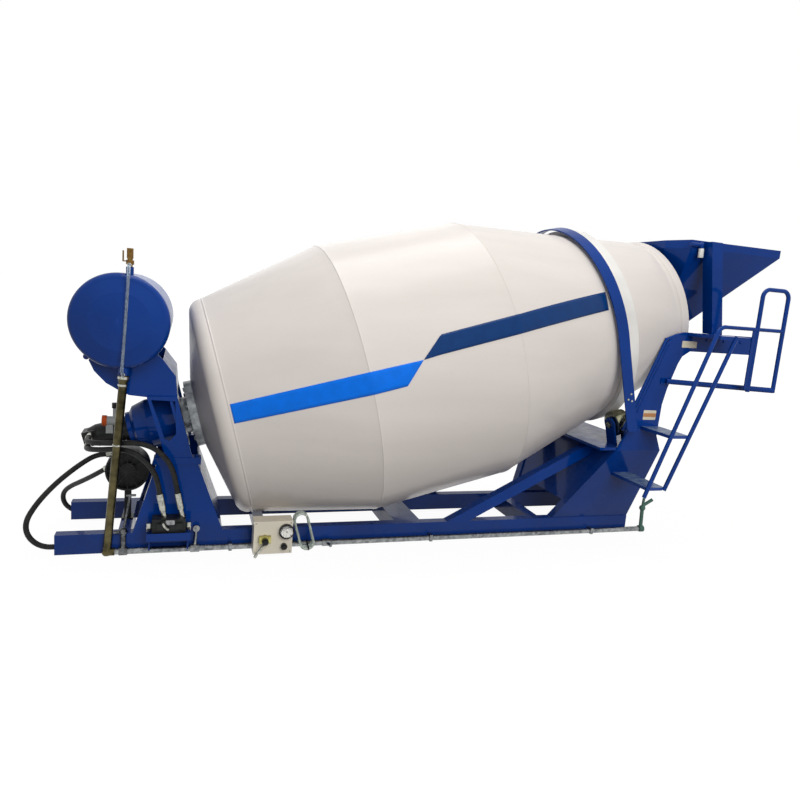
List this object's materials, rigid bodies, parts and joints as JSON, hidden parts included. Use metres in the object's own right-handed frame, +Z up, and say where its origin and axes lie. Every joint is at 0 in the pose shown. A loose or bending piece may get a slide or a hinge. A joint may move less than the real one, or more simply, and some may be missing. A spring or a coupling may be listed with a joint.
{
  "type": "truck mixer upper body",
  "caption": "Concrete mixer drum with its subframe, hydraulic drive, water tank, charging hopper, rear ladder and water line, as fitted on a truck chassis.",
  "frame": {"origin": "on the plane of the rails' undersides, under the middle of the length from the rails' front ends to the hopper's rear edge, in the drum's plane of symmetry", "axes": "+X along the rails towards the discharge end, +Y to the far side, +Z up"},
  "size_m": [6.4789, 2.3401, 2.869],
  "materials": {
    "blue_paint": "gloss enamel",
    "drum_paint": "gloss enamel",
    "black_paint": "satin",
    "worn_steel": "scoured plate",
    "zinc_plate": "yellow zinc",
    "galvanised": "galvanised",
    "brass": "dull",
    "hose_rubber": "matt",
    "clear_vinyl": "translucent",
    "cream_paint": "satin"
  },
  "bodies": {
    "frame": {"rail_near": "blue_paint", "rail_far": "blue_paint", "cross_members": "blue_paint", "hold_down_ears": "blue_paint", "rear_braces": "blue_paint", "front_pedestal": "blue_paint", "gearbox_yoke": "blue_paint", "tank_saddle": "blue_paint", "water_tank": "blue_paint", "tank_valve": "brass", "sight_tube": "clear_vinyl", "water_down_pipe": "zinc_plate", "water_main": "galvanised", "pipe_clips": "zinc_plate", "shut_off_valve": "brass", "line_tees": "zinc_plate", "rear_wash_valve": "zinc_plate", "gearbox": "blue_paint", "hydraulic_motor": "black_paint", "oil_cooler": "black_paint", "cooler_stand": "black_paint", "oil_filter": "black_paint", "junction_block": "black_paint", "junction_tray": "zinc_plate", "hose_fittings": "galvanised", "control_box": "cream_paint", "pressure_gauge": "black_paint", "control_lever": "brass", "control_knob": "black_paint", "rear_pedestal_near": "blue_paint", "rear_pedestal_far": "blue_paint", "pedestal_panel": "blue_paint", "roller_shelf": "blue_paint", "roller_brackets": "blue_paint", "rear_arm_near": "blue_paint", "rear_arm_far": "blue_paint", "arm_crossbeam": "blue_paint", "hoop": "blue_paint", "hopper": "blue_paint", "hopper_posts": "blue_paint", "flush_pipe": "blue_paint", "ladder_tubes": "blue_paint", "ladder_treads": "blue_paint", "platform": "zinc_plate", "guard_rail": "blue_paint", "arm_pipes": "blue_paint", "pump_hose_near": "hose_rubber", "pump_hose_far": "hose_rubber", "motor_hose_upper": "hose_rubber", "motor_hose_lower": "hose_rubber", "clear_hose_coil": "clear_vinyl"},
    "drum": {"drum_shell": "drum_paint", "drum_track": "drum_paint", "drive_flange": "black_paint", "mixing_blades": "worn_steel"},
    "roller_near": {"roller_near": "zinc_plate"},
    "roller_far": {"roller_far": "zinc_plate"}
  },
  "joints": [
    {"name": "drum_spin", "type": "hinge", "parent": "frame", "child": "drum", "pos_m": [-0.953, 0, 1.339], "axis": [0.9666, 0, 0.2563], "continuous": true},
    {"name": "roller_near_spin", "type": "hinge", "parent": "frame", "child": "roller_near", "pos_m": [1.57662, -0.59956, 1.12387], "axis": [0.9666, 0, 0.2563], "continuous": true},
    {"name": "roller_far_spin", "type": "hinge", "parent": "frame", "child": "roller_far", "pos_m": [1.57662, 0.59956, 1.12387], "axis": [0.9666, 0, 0.2563], "continuous": true}
  ]
}
